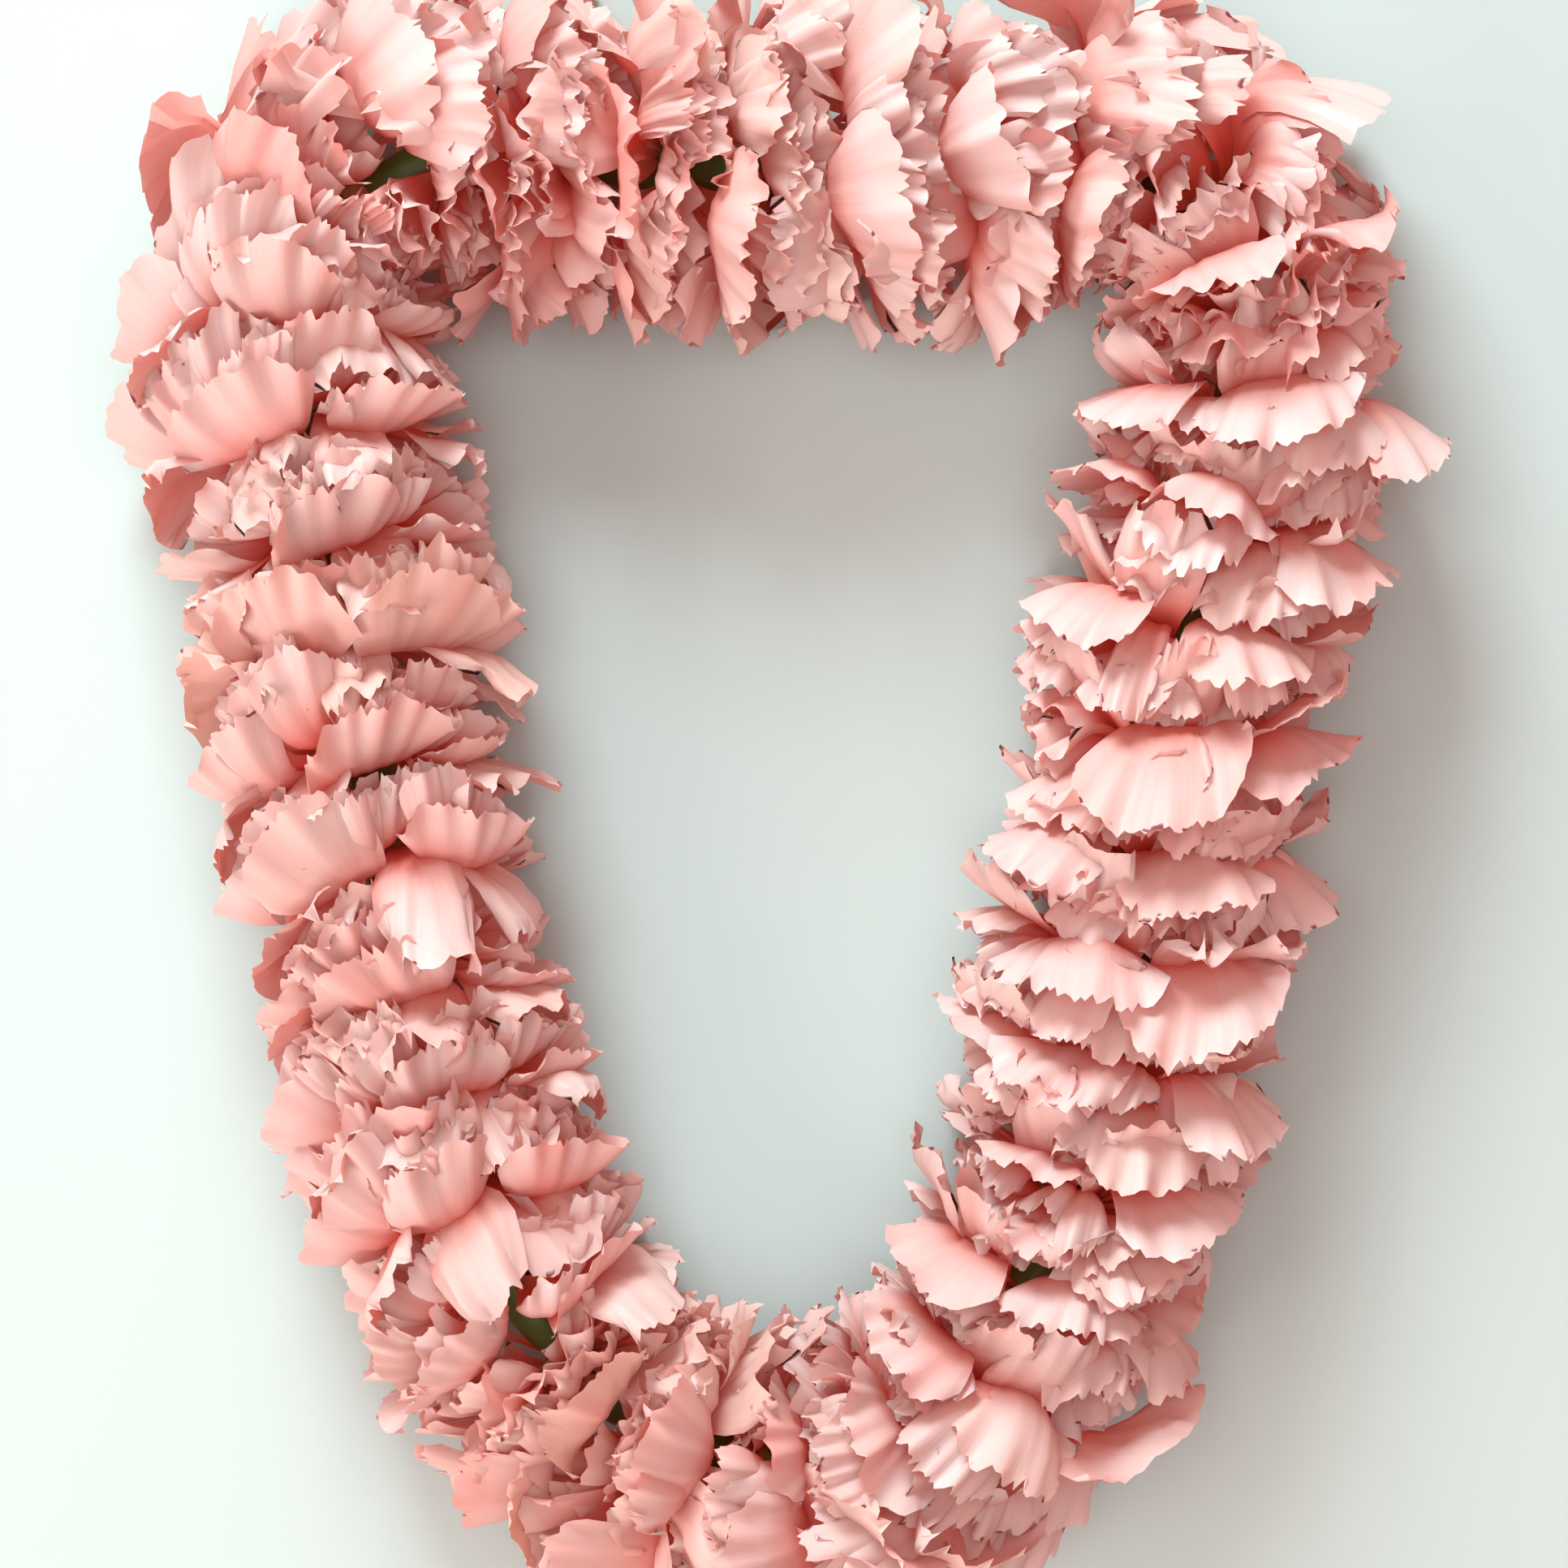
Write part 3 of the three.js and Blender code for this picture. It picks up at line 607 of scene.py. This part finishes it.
def petal_material():
    material, tree = node_tree("petal_skin")
    nodes, links = tree.nodes, tree.links

    def fact(key):
        node = nodes.new("ShaderNodeAttribute")
        node.attribute_name = key
        return node.outputs["Fac"]

    def sum_up(kind, first, second):
        node = nodes.new("ShaderNodeMath")
        node.operation = kind
        for socket, value in zip(node.inputs, (first, second)):
            if isinstance(value, (int, float)):
                socket.default_value = value
            elif value is not None:
                links.new(value, socket)
        return node.outputs[0]

    def spread(value, low, high, new_low=0.0, new_high=1.0):
        node = nodes.new("ShaderNodeMapRange")
        node.interpolation_type = "SMOOTHSTEP"
        limits = {"From Min": low, "From Max": high, "To Min": new_low, "To Max": new_high}
        for key, number in limits.items():
            node.inputs[key].default_value = number
        links.new(value, node.inputs["Value"])
        return node.outputs["Result"]

    def blended(first, second, share, kind="MIX"):
        node = nodes.new("ShaderNodeMix")
        node.data_type, node.blend_type = "RGBA", kind
        a, b, factor = node.inputs[6], node.inputs[7], node.inputs[0]
        for socket, value in ((a, first), (b, second), (factor, share)):
            if isinstance(value, tuple):
                socket.default_value = (*value, 1)
            elif isinstance(value, (int, float)):
                socket.default_value = value
            else:
                links.new(value, socket)
        return node.outputs[2]

    def noise(scale, detail=2.0):
        where = nodes.new("ShaderNodeTexCoord")
        node = nodes.new("ShaderNodeTexNoise")
        node.inputs["Scale"].default_value = scale
        node.inputs["Detail"].default_value = detail
        links.new(where.outputs["Object"], node.inputs["Vector"])
        return node.outputs["Fac"]

    run, side = fact("run"), fact("side")
    # painted shade and highlight: the deep red round 0.32 darkens the part of each blade that lies in the
    # folds, and the near-white from 0.87 on lightens the rims past their own colour
    colour = ramp_node(tree, [
        (0.0, (0.60, 0.47, 0.12)),
        (0.1, (0.86, 0.30, 0.12)),
        (0.32, (0.97, 0.16, 0.11)),
        (0.52, (0.91, 0.36, 0.31)),
        (0.72, (0.90, 0.64, 0.60)),
        (0.87, (0.89, 0.86, 0.85)),
        (1.0, (0.90, 0.90, 0.89)),
    ], run)
    pale = sum_up("MULTIPLY", spread(fact("tone"), 0.35, 1.0, 0.0, 0.75), spread(run, 0.3, 0.95))
    colour = blended(colour, (0.91, 0.84, 0.80), pale)
    pale_head = spread(fact("tone"), 0.85, 1.35)
    colour = blended(colour, (0.93, 0.88, 0.84), sum_up("MULTIPLY", pale_head, 0.75))
    colour = blended(colour, (0.96, 0.34, 0.28), spread(fact("tone"), 0.05, -0.4, 0.0, 0.45))
    colour = blended(colour, (0.98, 0.44, 0.37), spread(fact("head"), 0.4, 1.0, 0.0, 0.2))
    blush = fact("blush")
    wander = sum_up("ADD", sum_up("MULTIPLY", blush, 5.0), sum_up("MULTIPLY", fact("tone"), 40.0))
    veins = sum_up("SINE", sum_up("ADD", sum_up("MULTIPLY", side, 42.0), wander), None)
    fine = sum_up("SINE", sum_up("ADD", sum_up("MULTIPLY", side, 97.0), wander), None)
    ribs = sum_up("ADD", veins, sum_up("MULTIPLY", fine, 0.5))
    vein_share = sum_up("MULTIPLY", spread(ribs, 0.2, 1.5), spread(run, 0.25, 1.0, 0.12, 0.05))
    colour = blended(colour, (0.95, 0.30, 0.23), vein_share)
    colour = blended(colour, (0.92, 0.85, 0.81), spread(blush, 0.5, 1.0, 0.0, 0.45))
    colour = blended(colour, (0.97, 0.40, 0.33), spread(blush, 0.45, 0.0, 0.0, 0.3))
    rim = spread(run, 0.972, 0.992)
    patch = spread(sum_up("ADD", noise(260, 1), sum_up("MULTIPLY", fact("age"), 0.16)), 0.76, 0.81)
    colour = blended(colour, (0.30, 0.07, 0.09), sum_up("MULTIPLY", rim, patch))
    bump = nodes.new("ShaderNodeBump")
    bump.inputs["Strength"].default_value = 0.06
    bump.inputs["Distance"].default_value = 0.0002
    links.new(ribs, bump.inputs["Height"])
    shader = nodes.new("ShaderNodeBsdfPrincipled")
    links.new(colour, shader.inputs["Base Color"])
    links.new(bump.outputs["Normal"], shader.inputs["Normal"])
    shader.inputs["Roughness"].default_value = 0.48
    glow = ramp_node(tree, [
        (0.0, (0.01, 0.001, 0.001)),
        (0.25, (0.035, 0.004, 0.002)),
        (0.55, (0.09, 0.012, 0.007)),
        (1.0, (0.06, 0.010, 0.007)),
    ], run)
    links.new(glow, shader.inputs["Emission Color"])
    shader.inputs["Emission Strength"].default_value = 1.0
    through = nodes.new("ShaderNodeBsdfTranslucent")
    tint = blended((1.0, 0.38, 0.30), (1.0, 0.80, 0.72), pale_head)
    links.new(blended(colour, tint, 1.0, "MULTIPLY"), through.inputs["Color"])
    mix = nodes.new("ShaderNodeMixShader")
    mix.inputs["Fac"].default_value = TRANSLUCENT_SHARE
    links.new(shader.outputs[0], mix.inputs[1])
    links.new(through.outputs[0], mix.inputs[2])
    output = nodes.new("ShaderNodeOutputMaterial")
    links.new(mix.outputs[0], output.inputs["Surface"])
    material.cycles.emission_sampling = "NONE"  # too faint to light anything but itself
    return material


petal_finish = petal_material()
for bloom in blooms:
    bloom.data.materials.append(petal_finish)

# %% [markdown]
# ## Camera, light and floor
# The lei lies on a pale table, seen straight from above. Daylight comes from one large window
# beyond the top of the picture and a little to the left, so every head is bright on that side
# and throws a soft shadow into the loop. The larger a lamp is, the softer its shadows, so all
# three are wide: the window, a weak one overhead, and one that stands for a warm white card.
# The room's own colour is a warm pink, which keeps the shade between the petals from going grey.

# %% Camera, light and floor
FLOOR_HALF = 3
FLOOR_COLOUR = (0.50, 0.645, 0.64, 1)
floor = bpy.data.objects.new("floor", bpy.data.meshes.new("floor"))
floor_corners = [(FLOOR_HALF * x, FLOOR_HALF * y, 0) for x, y in ((-1, -1), (1, -1), (1, 1), (-1, 1))]
floor.data.from_pydata(floor_corners, [], [(0, 1, 2, 3)])
bpy.context.scene.collection.objects.link(floor)
floor_finish, tree = node_tree("pale_floor")
shader = tree.nodes.new("ShaderNodeBsdfPrincipled")
shader.inputs["Base Color"].default_value = FLOOR_COLOUR
shader.inputs["Roughness"].default_value = 0.7
output = tree.nodes.new("ShaderNodeOutputMaterial")
tree.links.new(shader.outputs[0], output.inputs["Surface"])
floor.data.materials.append(floor_finish)

CAMERA_PLACE = (0.00232, 0.00517, 1.0)
SENSOR = 36
PICTURE_WIDTH = 0.345  # what the picture takes in across, at the height of the petals
PETALS_AT = 0.04
camera = bpy.data.objects.new("camera", bpy.data.cameras.new("camera"))
bpy.context.scene.collection.objects.link(camera)
camera.location = CAMERA_PLACE
camera.data.sensor_width = SENSOR
camera.data.lens = SENSOR * (CAMERA_PLACE[2] - PETALS_AT) / PICTURE_WIDTH
bpy.context.scene.camera = camera


def soft_light(name, place, size, power, colour):
    light = bpy.data.lights.new(name, "AREA")
    light.size = size
    light.energy = power
    light.color = colour
    lamp = bpy.data.objects.new(name, light)
    lamp.location = place
    lamp.rotation_euler = (Vector((0, 0, 0)) - Vector(place)).to_track_quat("-Z", "Y").to_euler()
    bpy.context.scene.collection.objects.link(lamp)
    return lamp


soft_light("window", (-0.4, 1.5, 0.85), 0.8, 41, (0.91, 1.0, 1.0))
soft_light("ceiling", (0.0, -0.1, 1.4), 1.2, 7, (0.93, 1.0, 1.0))
soft_light("white_card", (-1.05, -0.8, 0.55), 1.0, 19, (1.0, 0.88, 0.83))
world = bpy.data.worlds.new("room")
bpy.context.scene.world = world
world.use_nodes = True
ROOM_COLOUR, ROOM_STRENGTH = (1.0, 0.53, 0.45, 1), 0.6
world.node_tree.nodes["Background"].inputs["Color"].default_value = ROOM_COLOUR
world.node_tree.nodes["Background"].inputs["Strength"].default_value = ROOM_STRENGTH
bpy.context.scene.view_settings.view_transform = "Standard"
light_paths = bpy.context.scene.cycles
light_paths.max_bounces = 5
light_paths.diffuse_bounces = 2  # a third one lightened the middle tones by only about 2 %
light_paths.transmission_bounces = 2

# %% [markdown]
# ## The calyces
# Behind its petals a carnation has a long green cup with five short teeth. Its foot stands in
# the bloom before it, so in the lei only slivers of green show in the gaps. A lathe profile
# skinned over rings gives the cup, and the lip's ring goes in and out five times for the teeth.

# %% The calyces, two to a piece as in the frame
CALYX_PROFILE = [(-0.6, 2.3), (1.5, 2.5), (3.6, 2.6), (5.5, 3.4), (9.0, 4.5), (14.0, 5.3), (19.0, 6.0)]
CALYX_SIDES, CALYX_TEETH, TOOTH_FLARE = 40, 5, 2.0
LIP_BACK, BORE = 1.1, 1.3


def calyx(index):
    """The green cup behind a bloom, its foot in the throat of the bloom before."""
    foot, way = joint_point(index - 1)
    length = np.linalg.norm(joint_point(index)[0] - foot)
    teeth = np.maximum(0, np.cos(np.arange(CALYX_SIDES) / CALYX_SIDES * FULL_TURN * CALYX_TEETH)) ** 1.5
    ribs = 1 + 0.02 * np.cos(np.arange(CALYX_SIDES) / CALYX_SIDES * FULL_TURN * 10)
    profile = CALYX_PROFILE + [(length - 2.0, 6.35)]
    if index == 0:
        profile = [(along, radius) for along, radius in profile if along > 5]
    rings = [ring_round(foot + way * along, way, radius * ribs, CALYX_SIDES) for along, radius in profile]
    lip = ring_round(foot + way * (length - LIP_BACK), way, 6.5 + TOOTH_FLARE * teeth, CALYX_SIDES)
    rings.append(lip - np.outer(1.3 * teeth, way))
    lip_centre = foot + way * (length - LIP_BACK)
    rings.append(ring_round(lip_centre, way, 6.2 + TOOTH_FLARE * 0.4 * teeth, CALYX_SIDES))
    rings.append(ring_round(lip_centre, way, BORE, CALYX_SIDES))
    rings.append(ring_round(foot + way * profile[0][0], way, BORE, CALYX_SIDES))
    points = np.vstack(rings)
    along = (points - foot) @ way / length
    return points, ring_skin(rings, CALYX_SIDES)[:, ::-1], along


calyces = []
for pair in range(BLOOM_COUNT // 2):
    cups = [calyx(2 * pair), calyx(2 * pair + 1)]
    points = np.vstack([cup[0] for cup in cups])
    faces = np.vstack([cups[0][1], cups[1][1] + len(cups[0][0])])
    runs = np.concatenate([cup[2] for cup in cups])
    piece = closed_mesh(f"calyces_{pair + 1:02d}", points, faces, dict(run=runs))
    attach(piece, "root")
    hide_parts(f"calyx_pair_{pair + 1:02d}")
    calyces.append(piece)
print("calyx pieces:", len(calyces), "triangles:", sum(len(c.data.polygons) for c in calyces))

# %% [markdown]
# ## The calyces' finish
# A calyx is green, paler at its foot and at the tips of its teeth. Its green is painted darker
# than a fresh calyx, as painted shade, so that the slivers in the gaps between blooms read as
# shadow. A ramp along the cup and a little unevenness in its surface are enough, as only slivers
# of it show.

# %% The calyces' finish
calyx_finish, tree = node_tree("calyx_green")
run = tree.nodes.new("ShaderNodeAttribute")
run.attribute_name = "run"
# painted shade: these greens are darker than a fresh calyx, so the gaps between blooms look shaded
green = ramp_node(tree, [
    (0.0, (0.24, 0.26, 0.08)),
    (0.4, (0.10, 0.19, 0.04)),
    (0.8, (0.13, 0.24, 0.05)),
    (1.0, (0.28, 0.28, 0.09)),
], run.outputs["Fac"])
where = tree.nodes.new("ShaderNodeTexCoord")
mottle = tree.nodes.new("ShaderNodeTexNoise")
mottle.inputs["Scale"].default_value = 400
tree.links.new(where.outputs["Object"], mottle.inputs["Vector"])
bump = tree.nodes.new("ShaderNodeBump")
bump.inputs["Strength"].default_value = 0.2
bump.inputs["Distance"].default_value = 0.0003
tree.links.new(mottle.outputs["Fac"], bump.inputs["Height"])
shader = tree.nodes.new("ShaderNodeBsdfPrincipled")
shader.inputs["Roughness"].default_value = 0.45
tree.links.new(green, shader.inputs["Base Color"])
tree.links.new(bump.outputs["Normal"], shader.inputs["Normal"])
output = tree.nodes.new("ShaderNodeOutputMaterial")
tree.links.new(shader.outputs[0], output.inputs["Surface"])
for piece in calyces:
    piece.data.materials.append(calyx_finish)

# %% [markdown]
# ## The thread
# The blooms hide the thread all the way. It is two plies twisted together, closed by one knot
# with two cut ends. Each ply is a tube swept along the string while it turns round it.

# %% The twisted thread and its knot
PLY_RADIUS, PLY_OFFSET, TWIST_LENGTH, PLY_SIDES = 0.36, 0.34, 5.0, 6
KNOT_AT, KNOT_SIZE, KNOT_RADIUS = 2.2, 0.62, 0.42
TAIL_LENGTH, TAIL_SPREAD = 2.6, 0.5


def tube(path, radius, sides, closed):
    """A tube round a path of points; an open one is closed by a point at each end."""
    path = np.asarray(path)
    ahead = np.roll(path, -1, axis=0) - np.roll(path, 1, axis=0)
    if not closed:
        ahead[0], ahead[-1] = path[1] - path[0], path[-1] - path[-2]
    ahead /= np.linalg.norm(ahead, axis=1, keepdims=True)
    side = np.cross(ahead, [0.13, 0.21, 0.97])
    side /= np.linalg.norm(side, axis=1, keepdims=True)
    up = np.cross(side, ahead)
    angle = np.arange(sides) / sides * FULL_TURN
    ring = np.cos(angle)[:, None, None] * side + np.sin(angle)[:, None, None] * up
    points = (path + radius * ring).transpose(1, 0, 2).reshape(-1, 3)
    faces = ring_skin(path, sides, closed)
    if not closed:
        last = len(points) - sides
        caps = [(len(points), (i + 1) % sides, i) for i in range(sides)]
        caps += [(len(points) + 1, last + i, last + (i + 1) % sides) for i in range(sides)]
        points = np.vstack([points, path[:1], path[-1:]])
        faces = np.vstack([faces, caps])
    return points, faces


def twisted_plies():
    turns = round(LOOP_LENGTH / TWIST_LENGTH)
    steps = turns * 6
    share = np.arange(steps) / steps
    corners = np.array([joint_point(index)[0] for index in range(BLOOM_COUNT + 1)])
    place = share * BLOOM_COUNT
    joints = np.arange(BLOOM_COUNT + 1)
    centre = np.stack([np.interp(place, joints, corners[:, k]) for k in range(3)], axis=-1)
    ahead = heading(share * LOOP_LENGTH)
    side = np.stack([-ahead[:, 1], ahead[:, 0], np.zeros(steps)], axis=-1)
    for ply in (0, 1):
        angle = share * turns * FULL_TURN + ply * math.pi
        offset = np.cos(angle)[:, None] * side + np.sin(angle)[:, None] * np.array([0, 0, 1.0])
        yield tube(centre + PLY_OFFSET * offset, PLY_RADIUS, PLY_SIDES, True)


def knot():
    way = joint_point(BLOOM_COUNT - 1)[1]
    side = np.array([-way[1], way[0], 0])
    centre = joint_point(BLOOM_COUNT - 1)[0] + way * KNOT_AT
    t = np.arange(48) / 48 * FULL_TURN
    loop = np.outer(np.sin(t) + 2 * np.sin(2 * t), side)
    loop = loop + np.outer(np.cos(t) - 2 * np.cos(2 * t), [0, 0, 1.0])
    loop = loop - np.outer(np.sin(3 * t), way)
    yield tube(centre + KNOT_SIZE * loop * 0.75, KNOT_RADIUS, 8, True)
    for lean in (-TAIL_SPREAD, TAIL_SPREAD):
        slope = way + lean * side
        reach = np.linspace(0, TAIL_LENGTH, 5)[:, None]
        yield tube(centre + reach * slope / np.linalg.norm(slope), 0.4, 8, False)


points, faces, total = [], [], 0
for part_points, part_faces in [*twisted_plies(), *knot()]:
    points.append(part_points)
    faces.append(part_faces + total)
    total += len(part_points)
thread = closed_mesh("twisted_thread", np.vstack(points), np.vstack(faces), {})
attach(thread, "root")
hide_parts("thread")
cotton, tree = node_tree("cotton_thread")
where = tree.nodes.new("ShaderNodeTexCoord")
fuzz = tree.nodes.new("ShaderNodeTexNoise")
fuzz.inputs["Scale"].default_value = 1500
tree.links.new(where.outputs["Object"], fuzz.inputs["Vector"])
tint = ramp_node(tree, [(0.3, (0.74, 0.70, 0.60)), (0.7, (0.90, 0.88, 0.82))], fuzz.outputs["Fac"])
shader = tree.nodes.new("ShaderNodeBsdfPrincipled")
shader.inputs["Roughness"].default_value = 0.85
tree.links.new(tint, shader.inputs["Base Color"])
output = tree.nodes.new("ShaderNodeOutputMaterial")
tree.links.new(shader.outputs[0], output.inputs["Surface"])
thread.data.materials.append(cotton)
print("thread triangles:", len(thread.data.polygons))
